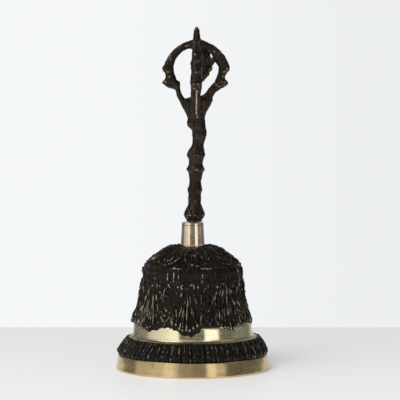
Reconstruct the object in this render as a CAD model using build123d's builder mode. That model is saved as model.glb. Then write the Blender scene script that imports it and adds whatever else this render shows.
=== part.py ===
"""Himalayan hand bell: cast bell, turned collar, half-vajra handle and a clapper that swings inside.

Millimetres, +Z up. The origin is at the centre of the plane that the bell's lip stands on.
"""

import os
from math import cos, radians, sin, sqrt, tan

from build123d import *

os.makedirs("parts", exist_ok=True)

# Bell
lip_radius = 40.3
lip_height = 7.6
lip_neck_radius = 37.4  # in the groove between the lip and the ribbed ring
mouth_radius = 36.8
fence_radius = 39.4  # the ribbed ring above the lip
fence_bottom = 8.2
fence_top = 17.4
fence_rib_count = 40
fence_flute_radius = 1.3
flute_axis_gap = 0.75  # from the ring's face out to the flute's axis
waist_foot_radius = 32.8  # where the waist runs out on to the ring
waist_radius = 30.6
relief_bottom = 24.6  # lower edge of the raised body
relief_step = 0.5  # how far the raised body stands out over the waist
shoulder_radius = 26.1
shoulder_height = 52.8
crown_rim_radius = 8.6  # the dome rises to this ring round the collar's seat
crown_rim_height = 64.1
crown_pad_radius = 6.8  # flat seat for the collar on top of the dome
crown_pad_height = 63.6
crown_underside = 60.4

# Collar
collar_bottom_radius = 6.3
collar_top_radius = 5.6
collar_top = 76.7

# Handle: its axis leans to +X, and stands a little off the bell's own axis
handle_lean = 0.76
handle_offset = 0.8  # at the collar's top
stem_top = 131.0
prong_thickness = 4.6
prong_draft = 14.0  # each prong thins out to both sides of its middle plane, which leaves a ridge
back_prong_turn = 18.0  # the back prong stands this many degrees round towards +X
tip_height = 178.7

# Fixing bolt, with the eye that the clapper hangs from
bolt_radius = 1.5
bolt_clearance = 0.1
bolt_top = 85.8
bolt_point_chamfer = 0.3
bore_end_gap = 0.4  # left in the handle's bore above the bolt
eye_wire_radius = 1.2
eye_radius = 3.4  # to the middle of the wire
eye_height = 49.8
washer_radius = 4.5
washer_thickness = 0.8
washer_chamfer = 0.15
nut_across_flats = 5.5
nut_thickness = 2.4
nut_corner_cut = 0.35  # how far the cone at each face cuts the corners in
nut_cone_height = 0.25

# Clapper
hang_gap = 0.1  # between two wires that hang in one another
link_wire_radius = 0.9
link_half_width = 2.6  # to the middle of the wire
link_length = 10.0  # between the middles of its two end wires
rod_radius = 1.1
rod_eye_radius = 2.5
ball_radius = 8.0
ball_height = 10.4
ball_neck_radius = 2.6
ball_neck_top_radius = 2.1
ball_neck_top = 20.0
rod_bottom = 8.0

# Hinge heights: each hinge lies in the middle of the wire that the next piece hangs from
link_hinge_height = eye_height - eye_radius
link_top = link_hinge_height + eye_wire_radius + hang_gap + link_wire_radius
clapper_hinge_height = link_top - link_length
rod_eye_top = clapper_hinge_height + link_wire_radius + hang_gap + rod_radius
rod_eye_height = rod_eye_top - rod_eye_radius

# The handle is made upright on the origin and then placed in this frame, whose Z is its leaning axis
lean = radians(handle_lean)
handle_foot_x = handle_offset - collar_top * tan(lean)
handle_frame = Plane(
    origin=(handle_foot_x, 0, 0),
    x_dir=(cos(lean), 0, -sin(lean)),
    z_dir=(sin(lean), 0, cos(lean)),
)


# ---------------------------------------------------------------- bell
fence_foot = (fence_radius - 0.1, fence_bottom + 0.5)
fence_edge = (fence_radius, fence_bottom + 2.2)
fence_shoulder = (35.6, fence_top - 0.8)

# a flute of the ring is a round groove along its sloping face, with the groove's axis outside the metal
slope = Vector(fence_shoulder[0] - fence_edge[0], 0, fence_shoulder[1] - fence_edge[1])
outward = Vector(slope.Z, 0, -slope.X).normalized()
flute_foot = Vector(fence_edge[0], 0, fence_edge[1]) + outward * flute_axis_gap
flute_plane = Plane(origin=flute_foot, z_dir=slope)

with BuildPart() as fence_flute:
    with BuildSketch(flute_plane):
        Circle(fence_flute_radius)
    extrude(amount=slope.length)

with BuildPart() as bell_body:
    with BuildSketch(Plane.XZ):
        with BuildLine():
            # outside, from the foot of the lip up to the collar's seat
            lip = Polyline(
                (mouth_radius, 0),
                (lip_radius - 0.5, 0),
                (lip_radius, 0.6),
                (lip_radius - 0.2, 2.8),
                (lip_radius - 0.5, 4.4),
                (lip_radius - 1.1, 6.2),
                (lip_radius - 1.3, lip_height),
                (lip_neck_radius, lip_height + 0.2),
                (lip_neck_radius, fence_bottom),
                fence_foot,
                fence_edge,
            )
            fence_face = Line(lip @ 1, fence_shoulder)
            ledge = Polyline(
                fence_shoulder,
                (fence_shoulder[0] - 0.9, fence_top),
                (waist_foot_radius, fence_top + 0.2),
            )
            waist_top = (waist_radius, relief_bottom - 0.6)
            waist = ThreePointArc(ledge @ 1, (waist_radius + 0.7, 20.6), waist_top)
            skirt = Line(waist @ 1, (waist_radius + relief_step, relief_bottom))
            flare = ThreePointArc(skirt @ 1, (27.8, 39.0), (shoulder_radius, shoulder_height))
            bead = ThreePointArc(flare @ 1, (shoulder_radius + 0.3, shoulder_height + 0.9),
                                 (shoulder_radius - 0.4, shoulder_height + 1.8))
            shelf = Line(bead @ 1, (shoulder_radius - 1.2, shoulder_height + 2.1))
            dome = ThreePointArc(shelf @ 1, (17.6, 61.0), (crown_rim_radius, crown_rim_height))
            # seat, and the inside back down to the mouth
            seat = Polyline(
                dome @ 1,
                (crown_pad_radius, crown_pad_height),
                (bolt_radius + bolt_clearance, crown_pad_height),
                (bolt_radius + bolt_clearance, crown_underside),
                (7.0, crown_underside),
            )
            vault = ThreePointArc(seat @ 1, (18.6, 57.2), (23.2, 49.0))
            inner_flare = ThreePointArc(vault @ 1, (24.9, 36.0), (28.0, 21.5))
            bow = ThreePointArc(inner_flare @ 1, (31.8, 16.0), (35.0, 9.0))
            Line(bow @ 1, (mouth_radius, 0))
        make_face()
    revolve(axis=Axis.Z)

    # flutes between the ribs of the ring
    with PolarLocations(0, fence_rib_count):
        add(fence_flute.part, mode=Mode.SUBTRACT)

bell_body.part.label = "bell_body"
export_step(bell_body.part, "parts/bell_body.step")


# ---------------------------------------------------------------- collar
with BuildPart() as handle_collar:
    with BuildSketch(Plane.XZ):
        with BuildLine():
            Polyline(
                (bolt_radius + bolt_clearance, crown_pad_height),
                (collar_bottom_radius, crown_pad_height),
                (collar_top_radius + 0.1, collar_top - 1.6),
                (collar_top_radius - 0.15, collar_top - 1.4),
                (collar_top_radius - 0.15, collar_top - 1.1),
                (collar_top_radius, collar_top - 0.9),
                (collar_top_radius - 0.1, collar_top - 0.2),
                (collar_top_radius - 0.4, collar_top),
                (bolt_radius + bolt_clearance, collar_top),
                close=True,
            )
        make_face()
    revolve(axis=Axis.Z)

handle_collar.part.label = "handle_collar"
export_step(handle_collar.part, "parts/handle_collar.step")


# ---------------------------------------------------------------- handle
def prong_face():
    """Closed outline of one prong: distance from the handle's axis, and height."""
    with BuildSketch() as outline:
        with BuildLine():
            leg_outside = Polyline(
                (1.5, 131.5),
                (4.6, 132.6),
                (6.6, 136.0),
                (8.7, 139.4),
                (9.5, 142.2),
                (11.4, 146.2),
            )
            hook = Polyline(
                leg_outside @ 1,
                (15.2, 147.4),
                (17.3, 149.5),
                (15.8, 152.6),
                (16.4, 154.8),
                (17.6, 156.8),
            )
            outer_bow = ThreePointArc(hook @ 1, (13.2, 165.5), (1.2, 171.8))
            hub = Line(outer_bow @ 1, (1.2, 168.0))
            inner_top = Line(hub @ 1, (4.4, 167.8))
            inner_bow = ThreePointArc(inner_top @ 1, (11.0, 162.8), (11.9, 153.5))
            Polyline(
                inner_bow @ 1,
                (9.0, 149.4),
                (8.4, 145.0),
                (7.2, 142.1),
                (5.4, 140.4),
                (1.5, 140.4),
                leg_outside @ 0,
            )
        make_face()
    return outline.sketch


with BuildPart() as upright_handle:
    # stem, cup and middle prong, round about the handle's axis, with the tip above the other prongs
    with BuildSketch(Plane.XZ):
        with BuildLine():
            stem_line = Polyline((0, collar_top - 1.0), (3.7, collar_top - 1.0), (3.7, 78.4))
            stem_rings = Spline(
                stem_line @ 1,
                (5.4, 81.0),
                (3.9, 84.6),
                (3.2, 86.8),
                (3.5, 88.8),
                (3.1, 91.4),
                (3.8, 94.0),
                (2.9, 97.8),
                (3.6, 101.6),
                (4.7, 104.5),
                (3.4, 108.0),
                (4.8, 111.8),
                (3.1, 117.6),
                (3.8, 124.0),
                (4.7, 128.6),
                (4.4, stem_top),
            )
            cup_and_core = Polyline(
                stem_rings @ 1,
                (5.2, 133.6),
                (7.0, 137.6),
                (6.4, 140.4),
                (2.2, 141.6),
                (1.7, 150.0),
                (1.7, 168.0),
                (1.9, 172.4),
                (1.5, 174.6),
                (1.2, tip_height - 1.0),
                (0.6, tip_height),
                (0, tip_height),
            )
            Line(cup_and_core @ 1, stem_line @ 0)
        make_face()
    revolve(axis=Axis.Z)

    # four outer prongs: right, back, left and front
    for turn in (0, 90 - back_prong_turn, 180, 270):
        turned = radians(turn)
        prong_plane = Plane(
            origin=(0, 0, 0),
            x_dir=(cos(turned), sin(turned), 0),
            z_dir=(sin(turned), -cos(turned), 0),
        )
        with BuildSketch(prong_plane):
            add(prong_face())
        extrude(amount=prong_thickness / 2, both=True, taper=prong_draft)

with BuildPart() as handle:
    with Locations(handle_frame):
        add(upright_handle.part)
    # flat foot on the collar, and the threaded bore for the bolt
    split(bisect_by=Plane.XY.offset(collar_top), keep=Keep.TOP)
    with Locations((0, 0, collar_top)):
        Cylinder(bolt_radius, bolt_top + bore_end_gap - collar_top,
                 align=(Align.CENTER, Align.CENTER, Align.MIN), mode=Mode.SUBTRACT)

handle.part.label = "handle"
export_step(handle.part, "parts/handle.step")


# ---------------------------------------------------------------- bolt, washer and nut
shank_bottom = eye_height + eye_radius

with BuildPart() as hanger_bolt:
    # eye, bent from the wire of the shank
    with Locations((0, 0, eye_height)):
        Torus(eye_radius, eye_wire_radius, rotation=(90, 0, 0))
    with BuildSketch(Plane.XY.offset(shank_bottom)):
        Circle(bolt_radius)
    extrude(amount=bolt_top - shank_bottom)
    chamfer(hanger_bolt.edges().filter_by(GeomType.CIRCLE).sort_by(Axis.Z)[-1], bolt_point_chamfer)

hanger_bolt.part.label = "hanger_bolt"
export_step(hanger_bolt.part, "parts/hanger_bolt.step")


with BuildPart() as washer:
    with BuildSketch(Plane.XY.offset(crown_underside - washer_thickness)):
        Circle(washer_radius)
        Circle(bolt_radius + bolt_clearance, mode=Mode.SUBTRACT)
    extrude(amount=washer_thickness)
    chamfer(washer.edges().group_by(Axis.Z)[0].sort_by(SortBy.RADIUS)[-1], washer_chamfer)

washer.part.label = "washer"
export_step(washer.part, "parts/washer.step")


nut_top = crown_underside - washer_thickness
nut_corner_radius = nut_across_flats / 2 / cos(radians(30))

with BuildPart() as lock_nut:
    with BuildSketch(Plane.XY.offset(nut_top - nut_thickness)):
        RegularPolygon(nut_corner_radius, 6)
    extrude(amount=nut_thickness)
    # the corners are turned down to a cone at both faces
    with BuildSketch(Plane.XZ):
        with BuildLine():
            Polyline(
                (0, nut_top - nut_thickness),
                (nut_corner_radius - nut_corner_cut, nut_top - nut_thickness),
                (nut_corner_radius, nut_top - nut_thickness + nut_cone_height),
                (nut_corner_radius, nut_top - nut_cone_height),
                (nut_corner_radius - nut_corner_cut, nut_top),
                (0, nut_top),
                close=True,
            )
        make_face()
    revolve(axis=Axis.Z, mode=Mode.INTERSECT)
    with Locations((0, 0, nut_top)):
        Hole(bolt_radius)

lock_nut.part.label = "lock_nut"
export_step(lock_nut.part, "parts/lock_nut.step")


# ---------------------------------------------------------------- clapper
link_upper_bend = link_top - link_half_width
link_lower_bend = clapper_hinge_height + link_half_width

with BuildPart() as clapper_link:
    # two half-round bends joined by two straight sides
    for bend_height, bend_arc in ((link_upper_bend, 180), (link_lower_bend, -180)):
        with BuildSketch(Plane.XY.offset(bend_height)):
            with Locations((0, link_half_width)):
                Circle(link_wire_radius)
        revolve(axis=Axis((0, 0, bend_height), (1, 0, 0)), revolution_arc=bend_arc)
    with BuildSketch(Plane.XY.offset(link_lower_bend)):
        with Locations((0, link_half_width), (0, -link_half_width)):
            Circle(link_wire_radius)
    extrude(amount=link_upper_bend - link_lower_bend)

clapper_link.part.label = "clapper_link"
export_step(clapper_link.part, "parts/clapper_link.step")


with BuildPart() as clapper_rod:
    with Locations((0, 0, rod_eye_height)):
        Torus(rod_eye_radius, rod_radius, rotation=(90, 0, 0))
    with BuildSketch(Plane.XY.offset(rod_bottom)):
        Circle(rod_radius)
    extrude(amount=rod_eye_height - rod_eye_radius - rod_bottom)

clapper_rod.part.label = "clapper_rod"
export_step(clapper_rod.part, "parts/clapper_rod.step")


neck_join_height = ball_height + sqrt(ball_radius**2 - ball_neck_radius**2)

with BuildPart() as clapper_ball:
    with BuildSketch(Plane.XZ):
        with BuildLine():
            belly = ThreePointArc(
                (0, ball_height - ball_radius),
                (ball_radius, ball_height),
                (ball_neck_radius, neck_join_height),
            )
            Polyline(belly @ 1, (ball_neck_top_radius, ball_neck_top), (0, ball_neck_top), belly @ 0)
        make_face()
    revolve(axis=Axis.Z)
    # blind bore that the rod is driven into
    with Locations((0, 0, rod_bottom)):
        Cylinder(rod_radius, ball_neck_top - rod_bottom,
                 align=(Align.CENTER, Align.CENTER, Align.MIN), mode=Mode.SUBTRACT)

clapper_ball.part.label = "clapper_ball"
export_step(clapper_ball.part, "parts/clapper_ball.step")
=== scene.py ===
"""A tibetan hand bell: cast and patinated brass with a polished lip, waist and collar."""
import math

import bpy
import numpy as np
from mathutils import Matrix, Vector


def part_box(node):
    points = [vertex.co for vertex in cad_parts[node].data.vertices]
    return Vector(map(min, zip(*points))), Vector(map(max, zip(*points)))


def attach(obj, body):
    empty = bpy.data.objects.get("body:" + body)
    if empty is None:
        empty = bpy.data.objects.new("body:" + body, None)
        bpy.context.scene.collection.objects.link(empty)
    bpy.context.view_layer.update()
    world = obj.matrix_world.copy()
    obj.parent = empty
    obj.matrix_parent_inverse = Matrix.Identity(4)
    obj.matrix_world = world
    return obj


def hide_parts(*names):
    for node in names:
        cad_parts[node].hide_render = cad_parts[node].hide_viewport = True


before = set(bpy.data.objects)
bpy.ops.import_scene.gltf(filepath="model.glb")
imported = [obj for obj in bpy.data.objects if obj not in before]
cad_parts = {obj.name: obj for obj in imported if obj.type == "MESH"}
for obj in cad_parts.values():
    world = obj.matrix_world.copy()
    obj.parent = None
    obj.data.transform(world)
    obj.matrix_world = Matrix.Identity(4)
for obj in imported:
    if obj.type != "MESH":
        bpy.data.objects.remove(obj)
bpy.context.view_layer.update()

MM = 0.001
SEED = 7

# ---------------------------------------------------------------- places, in mm, read from the frame
collar_low, collar_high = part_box("handle_collar")
handle_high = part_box("handle")[1]
bell_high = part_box("bell_body")[1]
COLLAR_FOOT = collar_low.z / MM
COLLAR_TOP = collar_high.z / MM
TIP_TOP = handle_high.z / MM
BELL_TOP = bell_high.z / MM
LIP_RADIUS = bell_high.x / MM

# ---------------------------------------------------------------- number helpers


def smooth_step(low, high, value):
    """0 below low, 1 above high, and smooth between."""
    t = np.clip((value - low) / (high - low), 0.0, 1.0)
    return t * t * (3.0 - 2.0 * t)


def smooth_min(a, b, blend):
    """The smaller of two distances, with a fillet about blend mm wide."""
    h = np.maximum(blend - np.abs(a - b), 0.0)
    return np.minimum(a, b) - h * h / (4.0 * blend)


# large primes that scatter the noise's cells over its table of values
CELL_PRIMES = (73856093, 19349663, 83492791)
NOISE_VALUES = 4096


def lattice_noise(x, y, z, size, seed):
    """Smooth noise between -1 and 1 with blobs about size mm across."""
    values = np.random.default_rng(seed).random(NOISE_VALUES).astype(np.float32) * 2.0 - 1.0
    cell = [np.floor(c / size).astype(np.int64) for c in (x, y, z)]
    part = [c / size - i for c, i in zip((x, y, z), cell)]
    part = [p * p * (3.0 - 2.0 * p) for p in part]
    total = 0.0
    for corner in range(8):
        step = [corner & 1, (corner >> 1) & 1, (corner >> 2) & 1]
        keys = [(c + s) * prime for c, s, prime in zip(cell, step, CELL_PRIMES)]
        weight = 1.0
        for p, s in zip(part, step):
            weight = weight * (p if s else 1.0 - p)
        total = total + weight * values[(keys[0] ^ keys[1] ^ keys[2]) & (NOISE_VALUES - 1)]
    return total


def cast_noise(x, y, z, seed):
    """Rough sand-cast skin, in mm: lumps, pocks and grain."""
    return (
        0.16 * lattice_noise(x, y, z, 3.4, seed)
        + 0.11 * lattice_noise(x, y, z, 1.5, seed + 1)
        + 0.06 * lattice_noise(x, y, z, 0.75, seed + 2)
    )


def curve_through(points, steps=8):
    """Smooth curve through a few points."""
    p = np.array(points, float)
    p = np.vstack([2 * p[0] - p[1], p, 2 * p[-1] - p[-2]])
    made = []
    for i in range(1, len(p) - 2):
        for t in np.arange(steps) / steps:
            made.append(0.5 * (
                2 * p[i] + (p[i + 1] - p[i - 1]) * t
                + (2 * p[i - 1] - 5 * p[i] + 4 * p[i + 1] - p[i + 2]) * t * t
                + (3 * p[i] - p[i - 1] - 3 * p[i + 1] + p[i + 2]) * t ** 3))
    made.append(p[-2])
    return np.array(made)


def line_distance(u, v, line):
    """Distance in the plane from each point to a chain of short straight runs."""
    best = np.full(np.broadcast(u, v).shape, 1e9)
    for (u0, v0), (u1, v1) in zip(line[:-1], line[1:]):
        du, dv = u1 - u0, v1 - v0
        t = np.clip(((u - u0) * du + (v - v0) * dv) / (du * du + dv * dv + 1e-12), 0.0, 1.0)
        best = np.minimum(best, (u - u0 - t * du) ** 2 + (v - v0 - t * dv) ** 2)
    return np.sqrt(best)


def inside_outline(u, v, outline):
    """True where a point is inside a closed outline."""
    hit = np.zeros(np.broadcast(u, v).shape, bool)
    for (u0, v0), (u1, v1) in zip(outline, np.roll(outline, -1, axis=0)):
        crosses = (v0 > v) != (v1 > v)
        hit ^= crosses & (u < (u1 - u0) * (v - v0) / (v1 - v0 + 1e-12) + u0)
    return hit


def ridge(distance, half_width, height):
    """Height of a rounded ridge at a distance from its centre line."""
    return height * np.sqrt(np.clip(1.0 - (distance / half_width) ** 2, 0.0, 1.0))


# ---------------------------------------------------------------- mesh helpers


def add_piece(name, points, quads, body, nodes, material, worn=None):
    """A smooth-shaded mesh object from points in mm."""
    mesh = bpy.data.meshes.new(name)
    mesh.from_pydata((np.asarray(points) * MM).tolist(), [], np.asarray(quads).tolist())
    mesh.polygons.foreach_set("use_smooth", np.ones(len(mesh.polygons), bool))
    if worn is not None:
        layer = mesh.attributes.new("worn", "FLOAT", "POINT")
        layer.data.foreach_set("value", np.clip(worn, 0.0, 1.5).astype(np.float32))
    mesh.validate()
    mesh.update()
    mesh.materials.append(material)
    piece = bpy.data.objects.new(name, mesh)
    bpy.context.scene.collection.objects.link(piece)
    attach(piece, body)
    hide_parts(*nodes)
    return piece


def ring_quads(rows, columns):
    """Faces of a grid that is closed both ways, as round a solid ring."""
    row, column = np.meshgrid(np.arange(rows), np.arange(columns), indexing="ij")
    next_row, next_column = (row + 1) % rows, (column + 1) % columns
    corners = (row * columns + column, row * columns + next_column,
               next_row * columns + next_column, next_row * columns + column)
    return np.stack([c.ravel() for c in corners], axis=1)


def spin(section, columns):
    """A section carried round the axis: a grid of radii, a grid of heights, and the angles."""
    radius = np.repeat(section[:, :1], columns, axis=1)
    height = np.repeat(section[:, 1:], columns, axis=1)
    return radius, height, np.arange(columns) * (2.0 * math.pi / columns)


def placed(radius, height, angle):
    """x, y and z of a turned grid: angle 0 faces the front, and grows to the right."""
    return radius * np.sin(angle), -radius * np.cos(angle), height


def add_turned(name, radius, height, angle, node, slot, material, worn=None, shift=0.0):
    """A piece of the bell from a turned grid that closes on itself, moved to the right by shift."""
    x, y, z = placed(radius, height, angle)
    points = np.stack([grid.ravel() for grid in (x + shift, y, z)], axis=1)
    worn = None if worn is None else worn.ravel()
    return add_piece(name, points, ring_quads(*x.shape), "bell", [node], material, worn)


def outward(section):
    """Radius and height parts of a section's unit normals, as columns."""
    tangent = np.gradient(section, axis=0)
    tangent /= np.linalg.norm(tangent, axis=1, keepdims=True)
    return tangent[:, 1:], -tangent[:, :1]


def smoothed(height, rounds):
    """A closed band of heights with its detail blurred away."""
    for _ in range(rounds):
        height = (height + np.roll(height, 1, 1) + np.roll(height, -1, 1)
                  + np.vstack([height[:1], height[:-1]]) + np.vstack([height[1:], height[-1:]])) / 5.0
    return height


def rubbed_high(proud, start, sharp, tall):
    """Wear, whose pale colour also stands for painted glints: more where a height stands out of what is
    round it, and a little more where it is tall.
    """
    return start + sharp * (proud - smoothed(proud, 12)) + tall * proud


def wrapped(angle):
    """The same angle between minus and plus half a turn."""
    return (angle + math.pi) % (2.0 * math.pi) - math.pi


def along(points, step):
    """A chain of points laid every step mm or so along a few section points."""
    made = []
    for a, b in zip(points[:-1], points[1:]):
        a, b = np.array(a, float), np.array(b, float)
        count = max(1, round(float(np.linalg.norm(b - a)) / step))
        made.extend(a + (b - a) * t for t in np.arange(count) / count)
    made.append(np.array(points[-1], float))
    return np.array(made)


def surface_net(field, origin, step):
    """Quads on the zero surface of a distance field on a regular grid."""
    inside = field < 0
    cells = tuple(n - 1 for n in field.shape)
    total = np.zeros(cells + (3,), np.float32)
    count = np.zeros(cells, np.float32)
    halves = (slice(0, -1), slice(1, None))
    for axis in range(3):
        first, second = [a for a in range(3) if a != axis]
        for u in (0, 1):
            for v in (0, 1):
                low, high = [halves[0]] * 3, [halves[0]] * 3
                low[axis], high[axis] = halves
                low[first] = high[first] = halves[u]
                low[second] = high[second] = halves[v]
                a, b = field[tuple(low)], field[tuple(high)]
                cross = inside[tuple(low)] != inside[tuple(high)]
                t = np.where(cross, a / np.where(cross, a - b, 1.0), 0.0)
                total[..., axis] += t
                total[..., first] += cross * u
                total[..., second] += cross * v
                count += cross
    used = count > 0
    index = np.full(cells, -1)
    index[used] = np.arange(used.sum())
    corner = np.stack(np.nonzero(used), axis=1)
    points = np.asarray(origin) + step * (corner + total[used] / count[used][:, None])
    quads = []
    for axis in range(3):
        first, second = (axis + 1) % 3, (axis + 2) % 3
        low, high = [slice(1, -1)] * 3, [slice(1, -1)] * 3
        low[axis], high[axis] = slice(0, -1), slice(1, None)
        a, b = inside[tuple(low)], inside[tuple(high)]
        for enters in (True, False):
            at = np.stack(np.nonzero((a != b) & (a == enters)), axis=1)
            at += np.array([0 if k == axis else 1 for k in range(3)])
            ring = []
            for du, dv in ((-1, -1), (0, -1), (0, 0), (-1, 0)):
                cell = at.copy()
                cell[:, first] += du
                cell[:, second] += dv
                ring.append(index[cell[:, 0], cell[:, 1], cell[:, 2]])
            quads.append(np.stack(ring if enters else ring[::-1], axis=1))
    return points, np.concatenate(quads)


def bulge(points, quads, rounds):
    """How far each point stands out of its neighbourhood: positive on ridges, in mm."""
    n = len(points)
    edges = np.concatenate([quads[:, [i, (i + 1) % 4]] for i in range(4)])
    edges = np.concatenate([edges, edges[:, ::-1]])
    degree = np.bincount(edges[:, 0], minlength=n)[:, None]

    def mean(values):
        """The mean of each point's neighbours."""
        return np.stack([
            np.bincount(edges[:, 0], weights=values[edges[:, 1], k], minlength=n)
            for k in range(values.shape[1])], axis=1) / np.maximum(degree, 1)

    corner = points[quads]
    face_normal = np.cross(corner[:, 2] - corner[:, 0], corner[:, 3] - corner[:, 1])
    normal = np.stack([
        sum(np.bincount(quads[:, j], weights=face_normal[:, k], minlength=n) for j in range(4))
        for k in range(3)], axis=1)
    normal /= np.linalg.norm(normal, axis=1, keepdims=True) + 1e-12
    soft = points
    for _ in range(rounds):
        soft = mean(soft)
    return ((points - soft) * normal).sum(axis=1)


# ---------------------------------------------------------------- materials


def feed(tree, socket, value):
    """Gives a socket a plain value, or wires another node's output to it."""
    if isinstance(value, bpy.types.NodeSocket):
        tree.links.new(value, socket)
    else:
        socket.default_value = value


def wire(tree, kind, inputs=None, **settings):
    """Adds a shader node, with its settings, and feeds its inputs."""
    made = tree.nodes.new("ShaderNode" + kind)
    for key, value in settings.items():
        setattr(made, key, value)
    for key, value in (inputs or {}).items():
        feed(tree, made.inputs[key], value)
    return made


class Look:
    """One node material, built with short calls."""

    def __init__(self, name):
        self.material = bpy.data.materials.new(name)
        self.material.use_nodes = True
        self.tree = self.material.node_tree
        self.shader = self.tree.nodes["Principled BSDF"]
        self.place = self.add("TexCoord").outputs["Object"]

    def add(self, kind, inputs=None, **settings):
        """Adds a node to this look."""
        return wire(self.tree, kind, inputs, **settings)

    def noise(self, size, detail=3.0, rough=0.6, place=None, warp=0.0):
        """Noise with blobs about size mm across."""
        wires = {"Vector": place or self.place, "Scale": 1.0 / (size * MM), "Detail": detail,
                 "Roughness": rough, "Distortion": warp}
        return self.add("TexNoise", wires).outputs["Fac"]

    def stretched(self, x, y, z):
        """Object coordinates with each axis multiplied."""
        return self.add("Mapping", {"Vector": self.place, "Scale": (x, y, z)}).outputs["Vector"]

    def ramp(self, value, *stops):
        """Grey by value: each of the two stops is a place from 0 to 1 and the grey there."""
        made = self.add("ValToRGB", {"Fac": value})
        for element, (where, grey) in zip(made.color_ramp.elements, stops):
            element.position = where
            element.color = (grey, grey, grey, 1.0)
        return made.outputs["Color"]

    def blend(self, amount, a, b):
        """Colour a where amount is 0 and b where it is 1."""
        return self.add("Mix", {0: amount, 6: a, 7: b}, data_type="RGBA").outputs[2]

    def math(self, kind, a, b=0.0, c=0.0):
        """One step of arithmetic on two or three values."""
        return self.add("Math", {0: a, 1: b, 2: c}, operation=kind).outputs[0]

    def bump(self, height, depth, strength):
        """Bump of a height from 0 to 1 over depth mm."""
        wires = {"Height": height, "Distance": depth * MM, "Strength": strength}
        return self.add("Bump", wires).outputs["Normal"]

    def rise(self, low, high):
        """0 below one height and 1 above another, in mm."""
        up = self.add("SeparateXYZ", {0: self.place}).outputs["Z"]
        limits = {"Value": up, "From Min": low * MM, "From Max": high * MM}
        return self.add("MapRange", limits).outputs["Result"]

    def give(self, **sockets):
        """Feeds the shader's own sockets, and hands back the material."""
        for key, value in sockets.items():
            feed(self.tree, self.shader.inputs[key.replace("_", " ").title()], value)
        return self.material


def colour(red, green, blue):
    """Linear colour from screen values of 0 to 255."""
    def linear(v):
        v = v / 255.0
        return v / 12.92 if v <= 0.04045 else ((v + 0.055) / 1.055) ** 2.4
    return (linear(red), linear(green), linear(blue), 1.0)


DUST = colour(66, 60, 48)
DULL_METAL = colour(126, 116, 96)
DARK_STAIN = colour(52, 42, 26)
RUST = colour(88, 62, 40)
RUBBED_GLOSS = (0.3, 0.3, 0.3, 1.0)


def patina_look(name, dark, brown, worn_metal_and_glint, wear_and_glint_start, wear_and_glint_end):
    """Dark patina on cast brass, rubbed through to metal here and there on its high places; the rubbed metal
    is pale, so it is also a painted highlight on those high places.
    """
    look = Look(name)
    worn = look.add("Attribute", attribute_name="worn").outputs["Fac"]
    patches = look.noise(7.0, 4.0, 0.65)
    grain = look.noise(0.55, 5.0, 0.7)
    skin = look.blend(look.ramp(patches, (0.38, 0.0), (0.66, 1.0)), dark, brown)
    dust = look.ramp(look.noise(1.6, 4.0, 0.7), (0.56, 0.0), (0.78, 1.0))
    skin = look.blend(look.math("MULTIPLY", dust, 0.2), skin, DUST)
    handled = look.ramp(look.noise(4.2, 3.0, 0.6), (0.36, 0.0), (0.64, 0.3))
    broken = look.ramp(look.noise(1.6, 3.0, 0.6, look.stretched(1.0, 1.0, 0.4)), (0.38, 0.0), (0.62, 0.28))
    rubbed_and_glint = look.math("ADD", worn, look.math("MULTIPLY_ADD", grain, 0.34, -0.52))
    rubbed_and_glint = look.math("ADD", rubbed_and_glint, broken)
    rubbed_and_glint = look.ramp(look.math("ADD", rubbed_and_glint, handled), (wear_and_glint_start, 0.0), (wear_and_glint_end, 1.0))
    # the pale worn metal is partly real wear and partly a painted highlight: glints laid into the colour
    metal = look.blend(look.noise(2.2), worn_metal_and_glint, DULL_METAL)
    skin = look.blend(rubbed_and_glint, skin, metal)
    gloss = look.ramp(look.noise(2.8, 4.0, 0.6), (0.3, 0.16), (0.75, 0.36))
    gloss = look.blend(rubbed_and_glint, gloss, RUBBED_GLOSS)
    height = look.math("MULTIPLY_ADD", look.noise(0.9, 4.0, 0.6), 0.6, look.math("MULTIPLY", grain, 0.4))
    return look.give(base_color=skin, metallic=look.math("MULTIPLY_ADD", rubbed_and_glint, 0.2, 0.8),
                     roughness=gloss, normal=look.bump(height, 0.22, 0.8))


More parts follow.
